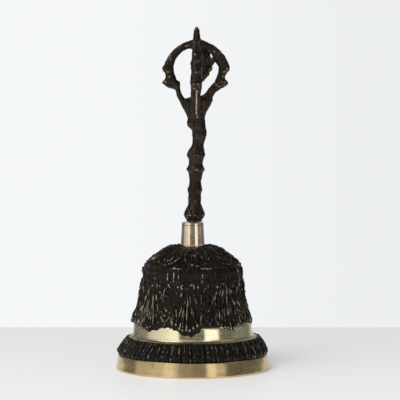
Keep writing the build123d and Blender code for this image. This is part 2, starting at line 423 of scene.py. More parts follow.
def polished_look(name, bright, warm, tarnish, line_size, pale_sheen, sheen_from, dark_bands):
    """Machine-polished brass: fine turned lines, faint tarnish, stains, small scratches and darker bands at
    given heights.

    It is paler above one height, a painted highlight on the upper part, and each darker band is a middle
    height and half its width.
    """
    look = Look(name)
    lines = look.noise(line_size, 4.0, 0.75, look.stretched(0.02, 0.02, 1.0))
    clouds = look.noise(9.0, 5.0, 0.6, warp=0.6)
    tone = look.blend(look.ramp(clouds, (0.35, 0.0), (0.7, 1.0)), bright, warm)
    # painted highlight: the upper part of the brass gets a paler tone so that it reads as brighter
    # reflection
    tone = look.blend(look.rise(sheen_from, sheen_from + 4.0), tone, pale_sheen)
    # the brass is darker in a few bands at given heights, near where it meets the next part
    for middle, half in dark_bands:
        near = look.math("MULTIPLY", look.rise(middle - half, middle), look.rise(middle + half, middle))
        near = look.math("MULTIPLY", near, look.ramp(look.noise(1.1, 4.0, 0.7), (0.3, 0.35), (0.6, 1.0)))
        tone = look.blend(near, tone, tarnish)
    spots = look.ramp(look.noise(1.3, 3.0, 0.5), (0.69, 0.0), (0.76, 1.0))
    tone = look.blend(look.math("MULTIPLY", spots, 0.8), tone, tarnish)
    tone = look.blend(look.ramp(lines, (0.55, 0.0), (0.8, 0.35)), tone, warm)
    stained = look.add("Attribute", attribute_name="worn").outputs["Fac"]
    specks = look.ramp(look.noise(1.2, 5.0, 0.75), (0.46, 0.0), (0.6, 1.0))
    stained = look.math("MULTIPLY", stained, specks)
    tone = look.blend(stained, tone, DARK_STAIN)
    scratch = look.noise(0.5, 2.0, 0.5, look.stretched(0.12, 0.12, 1.6), 1.5)
    scratch = look.ramp(scratch, (0.62, 0.0), (0.7, 1.0))
    gloss = look.math("MULTIPLY_ADD", lines, 0.1, 0.07)
    gloss = look.math("MULTIPLY_ADD", spots, 0.25, gloss)
    gloss = look.math("MULTIPLY_ADD", stained, 0.3, gloss)
    height = look.math("MULTIPLY_ADD", lines, 0.5, look.math("MULTIPLY", scratch, -0.35))
    return look.give(base_color=tone, metallic=1.0, roughness=gloss, normal=look.bump(height, 0.02, 0.7))


def steel_look(name, tone, rust_share):
    """Plated steel wire and fittings, dull, with brown stains."""
    look = Look(name)
    stain = look.ramp(look.noise(1.8, 5.0, 0.65), (0.62 - rust_share, 0.0), (0.78, 1.0))
    skin = look.blend(stain, tone, RUST)
    gloss = look.math("MULTIPLY_ADD", stain, 0.35, 0.3)
    height = look.math("MULTIPLY_ADD", look.noise(0.4, 4.0), 0.5, look.math("MULTIPLY", stain, 0.5))
    return look.give(base_color=skin, metallic=look.math("MULTIPLY_ADD", stain, -0.6, 1.0),
                     roughness=gloss, normal=look.bump(height, 0.05, 0.7))


# ---------------------------------------------------------------- handle

# the grid the handle is cut from: its step, how far it reaches sideways, and where it starts and ends
HANDLE_STEP = 0.34
HANDLE_REACH = 20.4
HANDLE_FROM, HANDLE_TO = 76.0, 180.0
CROWN_FROM = 128.0
STEM_REACH, STEM_TO = 9.5, 143.5
STEM_FOOT = 76.75
STEM_TOP = 142.0
AXIS_FOOT_X = -0.2175
AXIS_LEAN = math.tan(math.radians(0.76))

# height, half width and sideways offset of the stem, foot to cup
STEM = (
    (76.7, 3.8, 0.0), (78.2, 4.0, 0.0), (79.1, 4.9, 0.0), (80.7, 5.7, 0.0), (82.3, 5.2, 0.0),
    (84.6, 4.0, 0.0), (86.7, 3.35, 0.0), (88.7, 3.7, 0.0), (91.5, 3.35, 0.05), (92.4, 3.7, 0.05),
    (93.9, 4.05, 0.1), (96.0, 3.4, 0.15), (98.2, 2.95, 0.25), (100.3, 3.35, 0.3), (102.8, 3.75, 0.4),
    (104.3, 4.75, 0.45), (105.9, 4.15, 0.45), (107.6, 3.5, 0.45), (109.7, 4.0, 0.45), (111.9, 5.0, 0.45),
    (113.9, 4.5, 0.55), (116.0, 3.5, 1.05), (118.1, 3.1, 1.4), (120.2, 3.3, 1.75), (122.3, 3.7, 2.0),
    (124.4, 3.8, 1.9), (126.5, 4.2, 1.1), (128.5, 4.4, 0.65), (131.0, 4.2, 0.5), (134.0, 4.5, 0.1),
    (138.0, 5.5, 0.0), (140.0, 5.9, 0.0), (141.4, 4.9, 0.0), (STEM_TOP, 3.2, 0.0),
)
# height and radius of the tip above the prongs
TIP = (
    (165.0, 1.8), (168.0, 2.2), (171.4, 2.2), (172.4, 1.9), (173.4, 1.8), (174.6, 1.7), (176.4, 1.55),
    (177.6, 1.2), (178.2, 0.8), (178.65, 0.3),
)
# side outline of a prong, as distance out from the axis and height: the hooked top is the same on each
PRONG_TOP = (
    (17.3, 158.0), (16.7, 159.2), (15.9, 161.2), (14.8, 163.2), (13.4, 165.2), (11.8, 167.0),
    (9.9, 168.5), (7.6, 169.8), (5.0, 170.9), (3.0, 171.6), (0.0, 172.0), (0.0, 167.0), (2.3, 167.2),
    (4.4, 167.2), (6.8, 166.2), (8.9, 163.9), (10.7, 161.1), (11.5, 158.3),
)
PRONG_LEFT = (
    (1.0, 129.5), (3.9, 131.7), (5.3, 133.8), (6.8, 136.4), (8.3, 139.2), (9.3, 141.0), (9.9, 142.6),
    (10.3, 144.4), (10.9, 145.8), (12.6, 146.6), (15.2, 147.4), (17.2, 148.6), (18.0, 149.7),
    (17.2, 150.7), (16.3, 151.8), (16.0, 153.0), (16.5, 154.7), (17.3, 155.7), (17.8, 156.9),
) + PRONG_TOP + (
    (11.5, 156.0), (11.0, 153.5), (9.9, 151.1), (8.5, 150.1), (8.1, 148.7), (8.2, 146.9),
    (7.6, 144.5), (6.6, 142.7), (5.5, 141.3), (4.2, 141.2), (2.8, 141.8), (1.0, 142.2),
)
PRONG_RIGHT = (
    (1.0, 129.5), (4.7, 131.7), (5.4, 133.8), (6.6, 135.9), (8.0, 138.0), (9.1, 140.3), (8.8, 142.0),
    (9.6, 143.6), (10.9, 145.0), (12.8, 146.4), (15.3, 147.4), (16.9, 148.8), (16.2, 150.3),
    (15.2, 151.6), (15.2, 152.8), (16.2, 154.7), (17.2, 155.7), (17.5, 156.9),
) + PRONG_TOP + (
    (11.5, 156.5), (11.3, 154.5), (10.7, 152.6), (9.5, 150.3), (7.9, 148.2), (6.1, 146.0),
    (4.8, 144.0), (3.4, 142.8), (1.0, 142.4),
)
# rows of small leaves on the stem: middle height, reach, number round it and how proud they stand
STEM_LEAVES = (
    (81.2, 3.8, 8, 0.55), (94.0, 2.2, 6, 0.4), (99.5, 2.4, 8, 0.3), (111.6, 3.0, 6, 0.5),
    (107.0, 1.6, 8, 0.25), (89.0, 2.6, 6, 0.35), (129.0, 3.2, 6, 0.5), (137.2, 4.2, 8, 0.6),
    (122.5, 3.2, 5, 0.4),
)
# worn beads down the outside of the front prong: height, place across, how far in front, and radius
PRONG_BEADS = (
    (145.9, 0.9, 11.2, 1.0), (149.7, 0.8, 17.4, 0.9), (152.9, 0.4, 16.0, 0.8), (156.0, -0.2, 17.4, 1.0),
    (156.3, 1.2, 17.1, 0.8), (161.3, 0.9, 15.6, 0.9), (164.6, -0.6, 13.6, 0.8), (147.4, -0.7, 15.0, 0.9),
)
# grooves in a prong's cheek: depth, width and the points of each
CHEEK_GROOVES = (
    (0.5, 0.45, ((17.0, 149.6), (14.5, 148.9), (11.6, 148.6))),
    (0.4, 0.4, ((16.4, 155.0), (14.2, 154.4), (12.6, 155.4))),
    (0.35, 0.35, ((15.2, 160.0), (12.6, 164.2), (8.8, 167.6))),
)
# crest of the front prong: heights and how far it stands out in front
CREST = ((133.0, 136.4, 139.2, 142.6, 146.5), (4.9, 6.9, 8.4, 9.9, 11.2))
CREST_X = 0.35
TABLE_STEP = 0.1
TABLE_R = np.arange(-3.0, 22.0, TABLE_STEP)
TABLE_Z = np.arange(124.0, 181.0, TABLE_STEP)


def outline_table(outline):
    """Signed distance in the plane to a prong's outline, on a fine grid."""
    r, z = np.meshgrid(TABLE_R, TABLE_Z, indexing="ij")
    ring = np.array(outline)
    distance = line_distance(r, z, np.vstack([ring, ring[:1]]))
    return np.where(inside_outline(r, z, ring), -distance, distance)


def thickness_table():
    """Half thickness of a prong over its side face: cheek, brow, eye and the groove of the tusk."""
    r, z = np.meshgrid(TABLE_R, TABLE_Z, indexing="ij")
    made = np.full(r.shape, 2.15)
    made += 0.45 * np.exp(-((r - 13.2) ** 2 + (z - 150.0) ** 2) / 5.0)
    made += 0.4 * np.exp(-((r - 14.6) ** 2 + (z - 156.4) ** 2) / 4.0)
    made += ridge(np.hypot(r - 13.9, z - 152.9), 0.8, 0.4)
    for depth, width, groove in CHEEK_GROOVES:
        made -= depth * np.exp(-(line_distance(r, z, curve_through(groove)) / width) ** 2)
    made += 0.25 * smooth_step(145.0, 138.0, z)
    return made


def look_up(table, r, z):
    """Values of a table on the prong grid at any place, by mixing the four nearest."""
    fr = np.clip((r - TABLE_R[0]) / TABLE_STEP, 0, len(TABLE_R) - 1.001)
    fz = np.clip((z - TABLE_Z[0]) / TABLE_STEP, 0, len(TABLE_Z) - 1.001)
    ir, iz = fr.astype(np.int32), fz.astype(np.int32)
    fr, fz = fr - ir, fz - iz
    low = table[ir, iz] * (1 - fz) + table[ir, iz + 1] * fz
    high = table[ir + 1, iz] * (1 - fz) + table[ir + 1, iz + 1] * fz
    return low * (1 - fr) + high * fr


def prong_distance(x, y, z, turn, outline, thickness):
    """Distance to one prong that points away from the axis at an angle from the right-hand side."""
    r = x * np.cos(turn) + y * np.sin(turn)
    t = y * np.cos(turn) - x * np.sin(turn)
    r, z_full = np.broadcast_arrays(r, z)
    flat = look_up(outline, r, z_full)
    half = look_up(thickness, r, z_full)
    edge = 1.9
    q = np.sqrt((np.maximum(flat + edge, 0.0) / edge) ** 2 + (t / half) ** 2) - 1.0
    return np.maximum(q * 1.7, flat)


def flash_distance(x, z, around, out):
    """Casting flash between the right prong and the bent back prong, torn open in one place."""
    inner = np.interp(z, (158.0, 161.0, 164.0, 167.0, 170.0), (13.4, 12.8, 11.2, 8.6, 5.0))
    web = np.abs(out - inner) - 0.85
    low_edge = 159.7 - 1.25 * np.abs(x - 9.9)
    web = np.maximum(web, (low_edge - z) * 0.7)
    web = np.maximum(web, np.maximum(-around, around - math.radians(74.0)) * out)
    web = np.maximum(web, z - 170.5)
    tear_long, tear_across = (x - 6.85) - (z - 163.5), (x - 6.85) + (z - 163.5)
    tear = 1.25 - np.sqrt((tear_long / 2.2) ** 2 + (tear_across / 1.15) ** 2)
    return np.maximum(web, tear)


def crest_distance(x, y, z):
    """The sharp crest low down on the front prong, which carries a painted highlight."""
    crest = np.sqrt(1.6 * (x - CREST_X) ** 2 + (y + np.interp(z, *CREST)) ** 2) - 0.62
    return np.maximum(crest, np.abs(z - 140.0) - 6.5)


def tip_distance(z, around, out):
    """The tip above the prongs, slightly square."""
    heights, radii = zip(*TIP)
    tip = out - np.interp(z, heights, radii) + 0.12 * np.abs(np.sin(2.0 * around))
    return np.maximum(tip, np.maximum(heights[0] - z, z - 178.55))


def crown_distance(x, y, z):
    """Four prongs round a thin middle one, with what the casting left between and on them."""
    left, right = outline_table(PRONG_LEFT), outline_table(PRONG_RIGHT)
    thick = thickness_table()
    around = np.arctan2(y, x)
    out = np.sqrt(x * x + y * y)
    wide = 1.0 + 0.26 * smooth_step(170.0, 158.0, TABLE_Z)
    # the back prong leans to the right as it rises, and is broader there
    twist = math.pi / 2 - np.radians(21.5) * smooth_step(146.5, 156.5, z)
    broad = 1.0 + 0.42 * (smooth_step(148.0, 155.0, TABLE_Z) * smooth_step(170.5, 166.0, TABLE_Z))
    body = prong_distance(x, y, z, 0.0, right, thick)
    for part, fillet in (
            (prong_distance(x, y, z, math.pi, left, thick), 0.8),
            (prong_distance(x, y, z, -math.pi / 2, left, np.minimum(thick * wide, 2.75)), 0.8),
            (prong_distance(x, y, z, twist, right, thick * broad), 0.8),
            (np.maximum(out - 1.7, np.abs(z - 155.0) - 15.0), 0.8),
            (flash_distance(x, z, around, out), 0.7),
            (crest_distance(x, y, z), 0.4),
            (tip_distance(z, around, out), 0.7)):
        body = smooth_min(body, part, fillet)
    for height, side, out_y, size in PRONG_BEADS:
        bead = np.sqrt((x - side) ** 2 + (y + out_y) ** 2 + (z - height) ** 2) - size
        body = smooth_min(body, bead, 0.5)
    return body


def stem_distance(x, y, z):
    """The knobbed stem with its leaves, low ring, front ridge and a lump on the left."""
    heights, halves, sides = zip(*STEM)
    half = np.interp(z, heights, halves)
    side = np.interp(z, heights, sides)
    u = x - side
    around = np.arctan2(y, u)
    out = np.sqrt(u * u + y * y)
    leaf = np.zeros_like(z)
    for middle, reach, count, proud in STEM_LEAVES:
        span = np.clip(1.0 - ((z - middle) / reach) ** 2, 0.0, 1.0)
        leaf = leaf + proud * span * (np.abs(np.cos(count * around / 2.0 + middle)) - 0.75)
    d = out - half - leaf
    # low wedge-shaped ring
    lip = np.sqrt(np.maximum(out - 3.9, 0.0) ** 2 * 0.6 + ((z - 104.3) / 1.1) ** 2 * 0.4) - 0.5
    d = smooth_min(d * 0.85, lip, 0.4)
    # the upright ridge of the front prong runs on down the stem, and a lump stands on the left
    front = np.sqrt((x - 0.75) ** 2 * 3.0 + (y + half - 0.2) ** 2) - 0.85
    front = np.maximum(front, np.abs(z - 133.0) - 12.0)
    d = smooth_min(d, front, 0.8)
    lump = np.sqrt((x + 2.9) ** 2 + (y + 0.6) ** 2 + ((z - 128.6) * 0.6) ** 2) - 1.5
    d = smooth_min(d, lump, 1.2)
    return np.maximum(d, np.maximum(STEM_FOOT - z, z - STEM_TOP))


def make_handle(material):
    """Stem and half vajra in one rough casting, worn bright on its edges, with a painted highlight along the
    front prong's crest.
    """
    across = np.arange(-HANDLE_REACH, HANDLE_REACH, HANDLE_STEP, dtype=np.float32)
    up = np.arange(HANDLE_FROM, HANDLE_TO, HANDLE_STEP, dtype=np.float32)
    x, y, z = across[:, None, None], across[None, :, None], up[None, None, :]
    field = np.full((len(across), len(across), len(up)), 6.0, np.float32)
    crown, stem = np.searchsorted(up, (CROWN_FROM, STEM_TO), side="right")
    near = slice(*np.searchsorted(across, (-STEM_REACH, STEM_REACH), side="right"))
    field[:, :, crown:] = crown_distance(x, y, z[:, :, crown:])
    shaft = stem_distance(x[near], y[:, near], z[:, :, :stem])
    field[near, near, :stem] = smooth_min(field[near, near, :stem], shaft, 1.0)
    skin = np.nonzero(np.abs(field) < 1.2)
    place = [axis[i] for axis, i in zip((across, across, up), skin)]
    field[skin] -= 1.25 * cast_noise(*place, SEED)
    field[:, :, up < STEM_FOOT - 0.03] = 3.0
    points, quads = surface_net(field, (across[0], across[0], up[0]), HANDLE_STEP)
    points = points.astype(float)
    worn = 0.5 + bulge(points, quads, 4) * 3.2
    # a painted highlight: the bright worn colour is laid in a thin line down the crest of the front prong
    crest_y = np.interp(points[:, 2], *CREST)
    crest_highlight = np.exp(-((points[:, 0] - CREST_X) / 0.36) ** 2) * (points[:, 1] < 0.3 - crest_y)
    worn += crest_highlight * smooth_step(132.5, 134.0, points[:, 2]) * smooth_step(147.5, 145.5, points[:, 2])
    points[:, 0] += AXIS_FOOT_X + AXIS_LEAN * points[:, 2]
    points[:, 2] = np.clip(points[:, 2], COLLAR_TOP, TIP_TOP)
    return add_piece("handle_casting", points, quads, "bell", ["handle"], material, worn)


# ---------------------------------------------------------------- bell

# section of the plain casting under the ornament, outside then inside: radius and height
SHELL_OUTSIDE = (
    (36.85, 0.0), (40.1, 0.0), (40.25, 0.2), (40.02, 1.7), (39.78, 3.2), (39.55, 4.7), (39.31, 6.2),
    (39.1, 7.55), (38.9, 7.95), (37.6, 8.0), (36.6, 8.4), (34.4, 14.5), (33.4, 16.0), (33.2, 16.8),
    (32.8, 17.1), (32.1, 17.25), (31.55, 17.55), (31.36, 18.2), (31.12, 20.3), (30.88, 22.4),
    (30.65, 24.5), (30.1, 25.2), (29.0, 26.3), (28.2, 29.0), (27.2, 34.0), (26.1, 41.0), (25.0, 48.0),
    (24.3, 53.0), (22.4, 55.0), (17.2, 59.0), (12.0, 61.8), (7.2, 62.9), (6.9, COLLAR_FOOT - 0.15),
    (6.6, COLLAR_FOOT), (1.75, COLLAR_FOOT),
)
SHELL_INSIDE = (
    (1.75, 60.4), (7.0, 60.4), (13.5, 59.5), (18.6, 57.2), (21.6, 53.6), (23.2, 49.0), (24.2, 43.0),
    (24.9, 36.0), (26.2, 28.5), (28.0, 21.5), (29.8, 18.4), (31.8, 16.0), (33.6, 13.0), (35.0, 9.0),
    (35.9, 4.6), (36.75, 0.25),
)
SHELL_STEP, HOLLOW_STEP, SHELL_COLUMNS = 0.8, 1.2, 256
# the ground of the ornament: radius and height from the scalloped edge to the collar
GROUND = (
    (30.6, 22.2), (30.55, 24.2), (29.95, 27.4), (29.15, 30.2), (28.4, 33.4), (27.6, 37.2), (27.0, 41.0),
    (26.6, 45.0), (26.3, 47.4), (26.1, 49.6), (25.95, 52.4), (25.7, 53.7), (25.2, 54.5), (24.3, 55.4),
    (22.4, 57.2), (20.1, 59.0), (17.9, 60.8), (15.4, 62.15), (12.9, 63.35), (10.9, 64.05), (9.0, 64.2),
    (7.6, 63.9), (6.4, 63.6),
)
# the hidden back of the ornament, from the collar down, and the radius where its edge is tucked in
BACKING = (
    (6.2, 62.4), (12.0, 60.8), (17.0, 58.4), (22.2, 54.6), (24.0, 51.0), (25.4, 42.0), (27.2, 33.0),
    (29.4, 25.5),
)
TUCK_RADIUS = 29.5
SECTORS = 8
FIRST_TASSEL = math.radians(-5.0)
FIRST_DROP = math.radians(-3.0)
# how far the edge hangs down at each low place, round from the front one to the right
EDGE_DROPS = (3.8, 2.5, 0.2, 2.4, 3.2, 2.6, 0.2, 2.2)
# middle and half width, in degrees, of the stretches of the bead line that are made bright: partly rubbed
# wear, partly a painted highlight where the line catches the light
RUBBED_AND_GLINT_STRETCHES = ((-19.0, 7.0), (15.0, 10.0), (76.0, 8.0), (141.0, 12.0), (-103.0, 9.0))
# fine lines round the shoulder, the bead line with its bright stretches first: height, half width and how
# proud
BEAD_LINES = ((54.8, 0.6, 0.2), (52.0, 0.35, 0.16), (47.6, 0.4, 0.2))
BEAD_HEIGHT = BEAD_LINES[0][0]
RELIEF_STEP, RELIEF_COLUMNS = 0.38, 608
# the motifs hang below one height and the petals lie above another, each within so many degrees
WALL_TOP, DOME_FOOT, MOTIF_REACH = 49.0, 54.2, 29.0
BAND_FOOT, BAND_TOP, BLADE_REACH = 46.0, 55.0, 4.0
# how far the skirt of the casting sits to the left, and the ring of ribs to the right
SKIRT_SHIFT = 0.5
RIB_SHIFT = 0.4
# stained places on the waist and lip: middle and half width in degrees, then lowest and highest point
STAINS = (
    (-72.0, 13.0, 16.0, 27.0), (-57.0, 5.0, 16.0, 19.5), (-32.0, 1.6, 5.0, 6.4), (118.0, 9.0, 16.0, 22.0),
)
# the ribs: how many, the radius they are measured at, and how far the ground lies back between them
RIB_COUNT, RIB_GIRTH, RIB_GAP = 40, 37.0, 0.75
RIB_STEP, RIB_COLUMNS = 0.32, 720
# section of the ring of ribs: its face from the foot up, and its hidden back
RIB_FACE = (
    (37.8, 8.0), (38.8, 8.2), (39.2, 9.0), (39.1, 10.2), (38.5, 11.4), (37.4, 12.9), (36.2, 14.5),
    (35.1, 16.1), (34.5, 17.0), (33.8, 17.35), (33.0, 17.0),
)
RIB_BACK = ((32.6, 16.6), (34.2, 13.5), (36.6, 7.9))
COLLAR_STEP, COLLAR_COLUMNS = 0.5, 128


class Ornament:
    """Heights on a patch of the bell: u runs across it and v up it, in mm."""

    def __init__(self, u, v):
        self.u, self.v = u, v
        self.height = np.zeros(u.shape)

    def line(self, points, half_width, tall):
        """Adds a rounded line through a few points, wherever it is the taller."""
        away = line_distance(self.u, self.v, curve_through(points))
        self.height = np.maximum(self.height, ridge(away, half_width, tall))

    def knob(self, centre, radius, tall, squash=1.0):
        """Adds a rounded knob, which is taller than it is wide where squash is below 1."""
        away = np.hypot(self.u - centre[0], (self.v - centre[1]) * squash)
        self.height = np.maximum(self.height, ridge(away, radius, tall))


def add_tassel(art, rng):
    """A fan of seven strands under a knotted bow, with a swag line to each side."""
    for strand in range(-3, 4):
        reach = 1.85 * strand + rng.uniform(-0.3, 0.3)
        foot = (23.6, 24.1, 25.0, 26.4)[abs(strand)] + rng.uniform(-0.4, 0.4)
        sway = rng.uniform(-0.35, 0.35, 2)
        line = ((0.34 * strand, 43.6), (0.72 * strand + sway[0], 37.5),
                (0.7 * reach + sway[1], 30.5), (reach, foot))
        wide = 0.36 + 0.3 * smooth_step(36.0, 25.0, art.v)
        art.line(line, wide, 0.75 * rng.uniform(0.7, 1.2))
        art.knob((reach, foot), 0.75, 0.95, 0.75)
    art.knob((0.0, 44.6), 1.35, 0.95, 0.8)
    for side in (-1, 1):
        bow = ((0.0, 44.8), (side * 2.1, 46.8), (side * 3.4, 45.4), (side * 1.4, 43.7))
        art.line(bow, 0.42, 0.6)
        for inset, drop, tall in ((0.0, 0.0, 0.7), (1.15, 2.2, 0.5)):
            sway = rng.uniform(-0.5, 0.5, 2)
            swag = ((side * (1.5 + inset), 45.2), (side * (3.4 + inset) + sway[0], 40.2),
                    (side * (6.0 + inset * 0.8), 34.6 + drop * 0.4 + sway[1]),
                    (side * 8.6, 30.6 + drop), (side * 11.4, 27.6 + drop))
            art.line(swag, 0.42, tall * rng.uniform(0.8, 1.15))
        art.knob((side * 7.4, 26.9), 0.95, 0.7, 0.6)


def add_medallion(art, rng):
    """A pointed oval with a stem and blades beside it, and a short string of beads under it."""
    for side in (-1, 1):
        sway = rng.uniform(-0.4, 0.4, 3)
        rim = ((sway[0], 46.6), (side * 1.9 + sway[1], 43.6), (side * 2.6 + sway[2], 39.6),
               (side * 1.7 + sway[0], 35.6), (sway[1], 33.0))
        art.line(rim, 0.42, 0.6 * rng.uniform(0.8, 1.15))
        for base, top in ((4.1, 41.5), (5.6, 37.5), (3.2, 33.5)):
            blade = ((side * base * 1.15, 27.0), (side * base + sway[2], 32.0), (side * base * 0.86, top))
            art.line(blade, 0.36, rng.uniform(0.4, 0.75))
        frond = ((side * 0.3, 34.6), (side * 1.3, 37.6), (side * 1.1, 40.4), (side * 0.2, 41.6))
        art.line(frond, 0.34, 0.42)
        art.knob((side * 4.6, 42.4), 0.75, 0.55)
        art.knob((side * 5.2, 45.6), 0.8, 0.5, 0.8)
    art.line(((0.0, 43.8), (0.25, 40.0), (-0.1, 35.6)), 0.55, 0.6)
    for height, size in ((30.6, 0.95), (28.8, 0.8), (27.3, 0.65), (26.2, 0.5)):
        art.knob((0.0, height), size, size * 0.8)


def add_petal(art, rng):
    """One lotus petal on the dome, where v is the distance in from the shoulder."""
    for side in (-1, 1):
        for inset, tall in ((0.0, 0.55), (1.3, 0.34)):
            rim = ((side * (1.9 - 0.35 * inset), 16.8), (side * (4.4 - inset), 12.0),
                   (side * (6.3 - inset), 7.0), (side * (4.4 - inset), 2.9), (0.0, 0.9 + inset))
            art.line(rim, 0.46, tall * rng.uniform(0.85, 1.15))
        curl = ((side * 0.6, 4.2), (side * 2.5, 6.0), (side * 2.3, 8.6), (side * 0.9, 8.8),
                (side * 0.8, 7.2))
        art.line(curl, 0.36, 0.42)
    art.line(((0.0, 3.2), (0.3, 7.0), (0.0, 15.5)), 0.4, 0.4)


def relief_heights(angle, radius, z, slope_run):
    """Height of the ornament over its ground, for every row and column."""
    rng = np.random.default_rng(SEED)
    made = np.zeros(radius.shape)

    def stamp(centre, reach, rows, up, motif):
        """Lays a motif on some rows within reach degrees of an angle, wherever it is the taller."""
        away = wrapped(angle - centre)
        columns = np.flatnonzero(np.abs(away) < math.radians(reach))
        pick = np.ix_(np.flatnonzero(rows), columns)
        art = Ornament(away[columns] * radius[pick], up[pick])
        motif(art)
        made[pick] = np.maximum(made[pick], art.height)

    slope = np.broadcast_to(slope_run[:, None], radius.shape)
    wall, dome = z[:, 0] < WALL_TOP, z[:, 0] > DOME_FOOT
    band = (z[:, 0] > BAND_FOOT) & (z[:, 0] < BAND_TOP)
    sector = 2.0 * math.pi / SECTORS
    for i in range(SECTORS):
        for motif, share, rows, up in ((add_tassel, 0.0, wall, z), (add_medallion, 0.5, wall, z),
                                       (add_petal, 0.25, dome, slope)):
            centre = FIRST_TASSEL + (i + share) * sector
            stamp(centre, MOTIF_REACH, rows, up, lambda art: motif(art, rng))
    for height, half, tall in BEAD_LINES:
        made = np.maximum(made, ridge(np.abs(z - height), half, tall))
    # short uneven blades in the band under the bead line
    for turn in np.arange(0.0, 360.0, 6.0):
        middle = math.radians(turn + rng.uniform(-2.5, 2.5))
        foot, top = rng.uniform(48.0, 50.0), rng.uniform(51.0, 53.4)
        slant = rng.uniform(-0.12, 0.12)
        tall = rng.uniform(0.1, 0.8)
        blade = ((0.0, foot), (slant * (top - foot), top))
        stamp(middle, BLADE_REACH, band, z, lambda art: art.line(blade, 0.42, tall))
    return made


def scalloped_edge(angle):
    """Rise of the lower edge: long under the tassels, short between, and ragged."""
    centres = FIRST_DROP + np.arange(SECTORS) * (2.0 * math.pi / SECTORS)
    drop = np.interp(angle, centres, EDGE_DROPS, period=2.0 * math.pi)
    scallop = 2.4 - drop * (0.5 + 0.5 * np.cos(SECTORS * (angle - FIRST_DROP)))
    rags = lattice_noise(30.0 * np.sin(angle), 30.0 * np.cos(angle), np.zeros(len(angle)), 1.6, SEED + 11)
    return scallop + (0.35 * np.cos(5 * SECTORS * (angle - FIRST_TASSEL)) + 0.4 * rags)


def make_relief(material):
    """The dark ornamented body of the bell, from its scalloped edge to the collar."""
    section = along(GROUND, RELIEF_STEP)
    steps = np.linalg.norm(np.diff(section, axis=0), axis=1)
    run = np.concatenate([[0.0], np.cumsum(steps)])
    shoulder_run = run[np.argmax(section[:, 1] > BEAD_HEIGHT + 0.1)]
    radius, height, angle = spin(section, RELIEF_COLUMNS)
    scallop = scalloped_edge(angle)
    low = smooth_step(31.0, 22.2, section[:, 1:])
    height = height + low * scallop
    radius = radius + low * (0.2 + 0.33 * np.maximum(0.0, 1.5 - scallop))
    ground = placed(radius, height, angle)
    proud = relief_heights(angle, radius, height, run - shoulder_run)
    proud *= 1.3 + 0.65 * lattice_noise(*ground, 3.6, SEED + 3)
    rough = cast_noise(*ground, SEED + 20)
    # broken upright strokes of the chisel, all over
    girth = 27.0
    around, up = np.broadcast_arrays(angle[None, :], run[:, None])
    strokes = lattice_noise(girth * np.sin(around), girth * np.cos(around), 0.16 * up, 1.5, SEED + 30)
    dome = smooth_step(54.0, 55.5, height)
    proud = proud * (1.0 + 0.08 * dome) - 0.3 + rough
    proud += (0.26 + 0.22 * dome) * np.maximum(0.0, 1.0 - 2.6 * np.abs(strokes))
    worn = rubbed_high(proud, 0.375, 1.1, 0.14)
    # the bead line is brighter in a few stretches: partly wear, partly a painted highlight
    for middle, half in RUBBED_AND_GLINT_STRETCHES:
        away = np.degrees(wrapped(angle - math.radians(middle)))
        worn += 0.5 * np.exp(-(away / half) ** 4) * np.exp(-((height - BEAD_HEIGHT) / 0.5) ** 2)
    out_r, out_z = outward(section)
    radius, height = radius + out_r * proud, height + out_z * proud
    height = np.minimum(height, BELL_TOP + 0.5 * smooth_step(6.6, 9.0, radius))
    # the lower edge turns in to the waist, and the hidden back closes the piece
    back_radius, back_height, _ = spin(np.array(BACKING), RELIEF_COLUMNS)
    tuck = np.full((1, RELIEF_COLUMNS), TUCK_RADIUS)
    radius = np.vstack([radius[:1] - 0.35, radius, back_radius, tuck])
    height = np.vstack([height[:1] - 0.1, height, back_height, height[:1] + 0.1])
    worn = np.vstack([worn[:1], worn, np.zeros((len(BACKING) + 1, RELIEF_COLUMNS))])
    return add_turned("bell_relief", radius, height, angle, "bell_body", "patinated_brass", material, worn,
                      shift=-SKIRT_SHIFT * smooth_step(52.0, 32.0, height))


def rib_heights(angle, t):
    """Height of the uneven ribs over the ring: t runs from 0 at its foot to 1 at its top."""
    rng = np.random.default_rng(SEED + 5)
    places = np.arange(RIB_COUNT) + rng.uniform(-0.14, 0.14, RIB_COUNT)
    starts = np.sort(2.0 * math.pi * places / RIB_COUNT)
    slant = rng.uniform(-0.05, 0.05, RIB_COUNT)
    proud = np.full((len(t), len(angle)), -RIB_GAP)
    for i in range(RIB_COUNT):
        width = (starts[(i + 1) % RIB_COUNT] - starts[i]) % (2.0 * math.pi)
        centre = starts[i] + width / 2.0 + slant[i] * (t - 0.5)
        across = np.abs(wrapped(angle[None, :] - centre)) * RIB_GIRTH
        half = width * RIB_GIRTH / 2.0 * 0.96 * (1.0 - 0.3 * t)
        cap = np.clip(1.0 - ((t - 0.44) / 0.46) ** 4, 0.0, 1.0)
        tall = rng.uniform(0.85, 1.1)
        round_top = np.sqrt(np.clip(1.0 - (across / half) ** 2, 0.0, 1.0))
        outline = (np.exp(-((across / half - 0.72) / 0.16) ** 2)
                   - 0.5 * np.exp(-((across / half - 0.4) / 0.14) ** 2))
        rib = tall * np.sqrt(cap) * (0.95 * round_top + 0.55 * outline)
        proud = np.maximum(proud, rib - RIB_GAP)
        curl = np.hypot(across - 0.3 * half, (t - 0.32) * 9.0)
        proud = proud - 0.3 * np.exp(-((curl - 1.1) / 0.28) ** 2) * (across < half)
    return proud


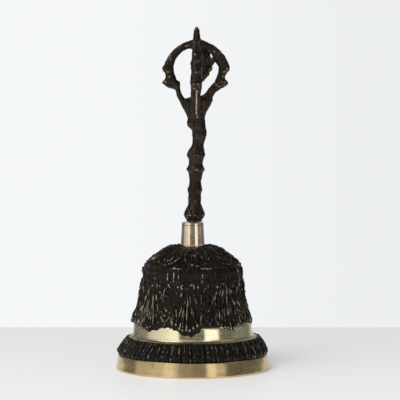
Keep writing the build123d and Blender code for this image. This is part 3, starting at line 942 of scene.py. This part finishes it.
def make_rib_ring(material):
    """The ring of short uneven ribs above the lip."""
    face = along(RIB_FACE, RIB_STEP)
    t = np.linspace(0.0, 1.0, len(face))[:, None]
    radius, height, angle = spin(face, RIB_COLUMNS)
    x, y, z = placed(radius, height, angle)
    strokes = lattice_noise(x, y, 0.4 * z, 1.2, SEED + 41)
    proud = rib_heights(angle, t)
    proud += cast_noise(x, y, z, SEED + 40) + 0.15 * np.maximum(0.0, 1.0 - 2.4 * np.abs(strokes))
    worn = rubbed_high(proud, 0.4, 1.0, 0.12)
    fade = smooth_step(0.0, 0.06, t) * smooth_step(1.0, 0.94, t)
    out_r, out_z = outward(face)
    radius = np.minimum(radius + out_r * proud * fade, LIP_RADIUS - 0.4)
    height = height + out_z * proud * fade
    back_radius, back_height, _ = spin(np.array(RIB_BACK), RIB_COLUMNS)
    radius, height = np.vstack([radius, back_radius]), np.vstack([height, back_height])
    worn = np.vstack([worn, np.zeros(back_radius.shape)])
    return add_turned("bell_rib_ring", radius, height, angle, "bell_body", "patinated_brass", material, worn,
                      shift=RIB_SHIFT * smooth_step(9.0, 15.0, height))


def make_shell(material):
    """Lip, waist and the inside of the bell in one closed casting."""
    outside = along(SHELL_OUTSIDE, SHELL_STEP)
    section = np.vstack([outside, along(SHELL_INSIDE, HOLLOW_STEP)])
    radius, height, angle = spin(section, SHELL_COLUMNS)
    row = np.arange(len(section))[:, None]
    grid = placed(radius, height, angle)
    wobble = 0.05 * lattice_noise(*grid, 9.0, SEED + 60)
    wobble = wobble + (row > len(outside)) * 0.16 * lattice_noise(*grid, 2.6, SEED + 61)
    radius = radius - np.abs(wobble) * smooth_step(0.0, 2.0, height)
    stained = np.zeros(radius.shape)
    for middle, half, low, high in STAINS:
        away = np.degrees(wrapped(angle - math.radians(middle)))
        band = smooth_step(low - 1.0, low, height) * smooth_step(high + 1.0, high, height)
        stained = np.maximum(stained, np.exp(-(away / half) ** 2) * band * (row < len(outside)))
    shell = add_turned("bell_shell", radius, height, angle, "bell_body", "bell_brass", material, stained)
    # the foot is faced off square, with a sharp edge
    rounded = [face.center.z > 0.3 * MM for face in shell.data.polygons]
    shell.data.polygons.foreach_set("use_smooth", rounded)
    return shell


def make_collar(material):
    """The turned ferrule, a little narrower at its top."""
    low, high = COLLAR_FOOT, COLLAR_TOP
    section = along(((1.7, low), (6.3, low), (6.22, low + 2.0), (5.95, (low + high) / 2),
                     (5.66, high - 0.5), (5.63, high - 0.12), (5.5, high), (1.7, high)), COLLAR_STEP)
    return add_turned("collar_turned", *spin(section, COLLAR_COLUMNS), "handle_collar", "polished_brass",
                      material)


# ---------------------------------------------------------------- stage, light and camera


CAMERA_EYE = Vector((0.0038, -1.5, 0.221))
CAMERA_TARGET = Vector((0.0038, 0.0, 0.0883))
SENSOR_WIDTH = 36.0
CAMERA_LENS = 259.6
LAMP_TARGET = Vector((0.0, 0.0, 0.05))
FLOOR_REACH = 2.5
FLOOR_BACK = 0.16


def make_camera():
    """A long lens a little above the bell, at the photograph's angle."""
    data = bpy.data.cameras.new("camera")
    data.sensor_width, data.lens = SENSOR_WIDTH, CAMERA_LENS
    camera = bpy.data.objects.new("camera", data)
    camera.location = CAMERA_EYE
    camera.rotation_euler = (CAMERA_TARGET - CAMERA_EYE).to_track_quat("-Z", "Y").to_euler()
    bpy.context.scene.collection.objects.link(camera)
    bpy.context.scene.camera = camera


def add_softbox(name, azimuth, distance, height, size, power):
    """A soft square light: azimuth is round from the camera, to the right."""
    turn = math.radians(azimuth)
    data = bpy.data.lights.new(name, "AREA")
    data.shape, data.size, data.size_y, data.energy = "RECTANGLE", size, size, power
    lamp = bpy.data.objects.new(name, data)
    lamp.location = (distance * math.sin(turn), -distance * math.cos(turn), height)
    lamp.rotation_euler = (LAMP_TARGET - lamp.location).to_track_quat("-Z", "Y").to_euler()
    lamp.visible_glossy = False
    bpy.context.scene.collection.objects.link(lamp)


def make_stage():
    """A plain pale floor that ends a little behind the bell."""
    floor = bpy.data.meshes.new("studio_floor")
    corners = [(-FLOOR_REACH, -FLOOR_REACH, 0), (FLOOR_REACH, -FLOOR_REACH, 0),
               (FLOOR_REACH, FLOOR_BACK, 0), (-FLOOR_REACH, FLOOR_BACK, 0)]
    floor.from_pydata(corners, [], [(0, 1, 2, 3)])
    look = Look("floor_paint")
    tone = look.blend(look.noise(60.0), colour(247, 247, 248), colour(243, 243, 244))
    floor.materials.append(look.give(base_color=tone, roughness=0.45))
    piece = bpy.data.objects.new("studio_floor", floor)
    bpy.context.scene.collection.objects.link(piece)


# brightness of the studio's walls by direction, as degrees round from the camera, to the right: near the
# horizon, higher up, and higher still
LOW_ROOM = (
    (-180, 0.62), (-164, 0.6), (-150, 0.2), (-100, 0.22), (-92, 0.6), (-60, 0.85), (-46, 1.05), (-28, 1.15),
    (-25, 0.05), (-18, 0.05), (-16, 0.15), (-6, 0.14), (-3, 0.09), (17, 0.09), (19, 0.03), (22, 0.03),
    (24, 1.4), (50, 1.4), (53, 0.13), (80, 0.13), (88, 0.19), (138, 0.18), (160, 0.65), (180, 0.62),
)
HIGH_ROOM = (
    (-180, 0.4), (-122, 0.35), (-112, 0.2), (-98, 0.22), (-90, 0.45), (-68, 0.55), (-60, 0.7), (-46, 0.72),
    (-44, 0.98), (-30, 0.98), (-28, 0.78), (-24, 0.78), (-20, 0.46), (-2, 0.42), (2, 0.33), (20, 0.33),
    (23, 1.05), (34, 1.05), (38, 0.5), (48, 0.48), (52, 0.24), (88, 0.18), (95, 0.12), (130, 0.13),
    (150, 0.4), (180, 0.4),
)
KEY_ROOM = (
    (-180, 0.4), (-85, 0.4), (-75, 1.9), (-35, 1.9), (-25, 0.15), (58, 0.15), (68, 0.5), (98, 0.5),
    (108, 0.3), (180, 0.4),
)
CEILING = (0.22, 0.22, 0.22, 1.0)
# the backdrop's two tones: the right one is darker, as painted shade
BACKDROP_LEFT = colour(245, 247, 249)
BACKDROP_RIGHT_SHADED = colour(237, 239, 240)


def room_stripe(tree, share, stops):
    """Slightly warm grey round the room: share runs from 0 to 1 once round it."""
    made = wire(tree, "ValToRGB", {"Fac": share})
    stripe = made.color_ramp.elements
    for _ in stops[2:]:
        stripe.new(0.5)
    for element, (degrees, level) in zip(stripe, stops):
        element.position = (degrees + 180.0) / 360.0
        element.color = (level, level * 0.985, level * 0.96, 1.0)
    return made.outputs["Color"]


def step_up(tree, value, low, high):
    """0 where a value is below low, 1 where it is above high, and even between."""
    return wire(tree, "MapRange", {"Value": value, "From Min": low, "From Max": high}).outputs["Result"]


def make_world():
    """A pale studio: a backdrop for the camera, with painted shade towards its right side, and bright and
    dark walls for the reflections.
    """
    world = bpy.data.worlds.new("studio")
    world.use_nodes = True
    bpy.context.scene.world = world
    tree = world.node_tree
    split = wire(tree, "SeparateXYZ", {0: wire(tree, "TexCoord").outputs["Generated"]})
    right, up = split.outputs["X"], split.outputs["Z"]
    toward = wire(tree, "Math", {0: split.outputs["Y"], 1: -1.0}, operation="MULTIPLY").outputs[0]
    around = wire(tree, "Math", {0: right, 1: toward}, operation="ARCTAN2").outputs[0]
    share = step_up(tree, around, -math.pi, math.pi)
    walls = room_stripe(tree, share, LOW_ROOM)
    # each higher part starts and ends its fade at two elevations, in degrees
    for start, end, upper in ((5.6, 7.4, room_stripe(tree, share, HIGH_ROOM)),
                              (27.0, 31.0, room_stripe(tree, share, KEY_ROOM)), (54.0, 62.0, CEILING)):
        rise = step_up(tree, up, math.sin(math.radians(start)), math.sin(math.radians(end)))
        walls = wire(tree, "Mix", {0: rise, 6: walls, 7: upper}, data_type="RGBA").outputs[2]
    room = wire(tree, "Background", {"Color": walls})
    # painted shade: the backdrop turns a little darker to the right, standing for soft shadow on the wall
    side = step_up(tree, right, -0.03, 0.05)
    shade = wire(tree, "Mix", {0: side, 6: BACKDROP_LEFT, 7: BACKDROP_RIGHT_SHADED}, data_type="RGBA")
    backdrop = wire(tree, "Background", {"Color": shade.outputs[2]})
    ray = wire(tree, "LightPath").outputs["Is Camera Ray"]
    mix = wire(tree, "MixShader", {0: ray, 1: room.outputs[0], 2: backdrop.outputs[0]})
    tree.links.new(mix.outputs[0], tree.nodes["World Output"].inputs["Surface"])


# ---------------------------------------------------------------- the object

make_camera()
make_stage()
make_world()
add_softbox("top_light", azimuth=-18.0, distance=0.7, height=1.25, size=0.9, power=15.5)

bell_patina = patina_look("bell_patina", colour(26, 23, 20), colour(41, 33, 26), colour(214, 204, 180),
                          wear_and_glint_start=0.7, wear_and_glint_end=1.08)
rib_patina = patina_look("rib_patina", colour(26, 25, 22), colour(35, 33, 27), colour(202, 192, 168),
                         wear_and_glint_start=0.72, wear_and_glint_end=1.08)
handle_patina = patina_look("handle_patina", colour(38, 32, 26), colour(58, 47, 37), colour(200, 188, 166),
                            wear_and_glint_start=0.77, wear_and_glint_end=1.1)
shell_brass = polished_look("lip_brass", bright=colour(218, 196, 150), warm=colour(204, 178, 128),
                            tarnish=colour(84, 62, 34), line_size=0.35, pale_sheen=colour(240, 228, 192),
                            sheen_from=10.0, dark_bands=((8.0, 0.7), (17.4, 0.6)))
collar_brass = polished_look("collar_brass", bright=colour(230, 214, 186), warm=colour(216, 196, 160),
                             tarnish=colour(70, 48, 26), line_size=0.3, pale_sheen=colour(236, 222, 198),
                             sheen_from=68.0, dark_bands=((COLLAR_FOOT, 1.3), (COLLAR_TOP - 1.25, 0.35)))
plated = steel_look("plated_steel", colour(190, 186, 178), rust_share=0.05)
raw_brass = steel_look("raw_brass", colour(172, 138, 84), rust_share=0.1)

make_handle(handle_patina)
make_relief(bell_patina)
make_rib_ring(rib_patina)
make_shell(shell_brass)
make_collar(collar_brass)
# the inner fittings keep their CAD shape
for look, node_names in ((plated, ("hanger_bolt", "washer", "lock_nut", "clapper_link")),
                         (raw_brass, ("clapper_rod", "clapper_ball"))):
    for node_name in node_names:
        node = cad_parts[node_name]
        node.data.materials.clear()
        node.data.materials.append(look)

bpy.context.scene.view_settings.view_transform = "Standard"
